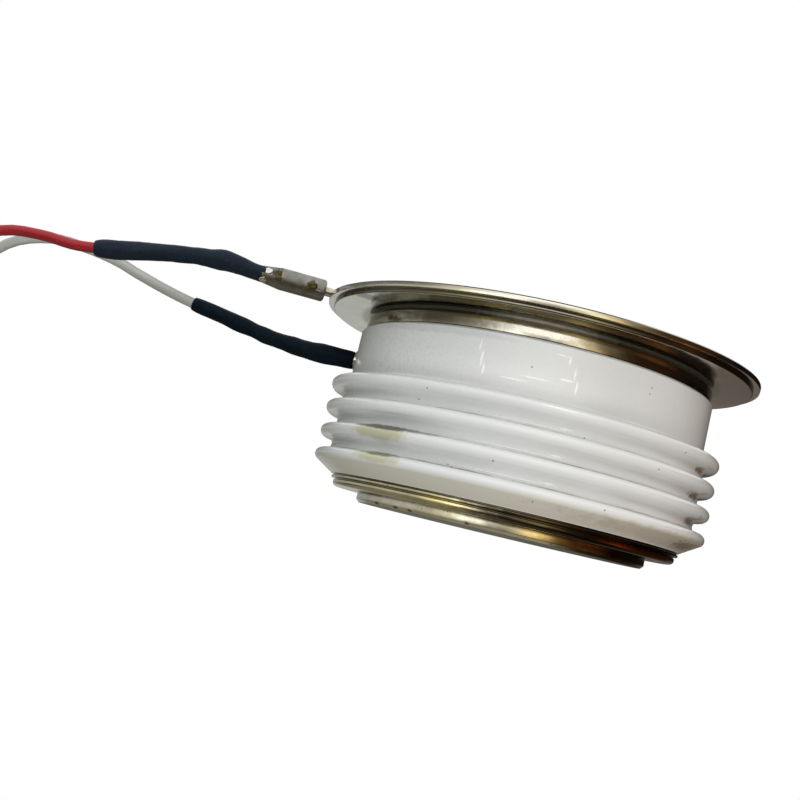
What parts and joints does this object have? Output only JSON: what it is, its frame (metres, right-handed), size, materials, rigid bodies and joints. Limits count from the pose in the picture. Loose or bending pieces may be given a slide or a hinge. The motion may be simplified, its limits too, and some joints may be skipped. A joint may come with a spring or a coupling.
{
  "type": "disc thyristor",
  "caption": "Disc thyristor in a ribbed white ceramic capsule with a wide welded rim, flat contact faces and two sleeved leads.",
  "frame": {"origin": "centre of the lower contact face, at the mouth of its centring hole", "axes": "+Z from the lower contact face to the upper one, -X out along the gate tube"},
  "size_m": [0.1483, 0.0584, 0.0272],
  "materials": {
    "glazed_ceramic": "glossy white glaze with stains and dirt in the creases",
    "plated_copper_lower": "nickel plate, satin and worn",
    "plated_sheet_lower": "nickel plate, glossy",
    "plated_ring": "nickel plate, glossy",
    "plated_lid": "nickel plate, glossy",
    "plated_copper_upper": "nickel plate, satin",
    "molybdenum": "matt metal",
    "silicon": "dark and polished",
    "seal_rubber": "silicone rubber",
    "inner_plastic": "natural white plastic",
    "spring_wire": "spring steel wire",
    "gate_metal": "silver-plated",
    "gate_tube_metal": "nickel-plated tube",
    "solder": "bright solder",
    "shrink_sleeve": "satin blue-black shrink sleeve",
    "white_insulation": "smooth white insulation",
    "tinned_strands": "tinned copper strands",
    "terminal_metal": "nickel-plated pin",
    "barrel_metal": "dull grey plated barrel",
    "solder_and_flux": "solder with amber flux residue",
    "bare_copper": "bare copper strands",
    "red_insulation": "smooth red insulation"
  },
  "bodies": {
    "root": {"ceramic_housing": "glazed_ceramic", "anode_pole": "plated_copper_lower", "anode_flange": "plated_sheet_lower", "weld_ring": "plated_ring", "lid_flange": "plated_lid", "cathode_pole": "plated_copper_upper", "anode_disc": "molybdenum", "silicon_wafer": "silicon", "edge_seal": "seal_rubber", "cathode_disc": "molybdenum", "locating_ring": "inner_plastic", "gate_insulator": "inner_plastic", "gate_spring": "spring_wire", "gate_pin": "gate_metal", "gate_wire": "gate_metal", "gate_wire_tube": "inner_plastic", "gate_tube": "gate_tube_metal", "gate_braze": "solder", "gate_solder": "solder", "gate_sleeve": "shrink_sleeve", "white_lead": "white_insulation", "white_lead_coil": "white_insulation", "white_lead_tail": "white_insulation", "white_lead_tip": "tinned_strands", "terminal_pin": "terminal_metal", "terminal_solder": "solder", "lead_barrel": "barrel_metal", "barrel_solder": "solder_and_flux", "red_core": "bare_copper", "red_sleeve": "shrink_sleeve", "red_lead": "red_insulation", "red_lead_coil": "red_insulation", "red_lead_tail": "red_insulation", "red_lead_tip": "tinned_strands"}
  },
  "joints": []
}
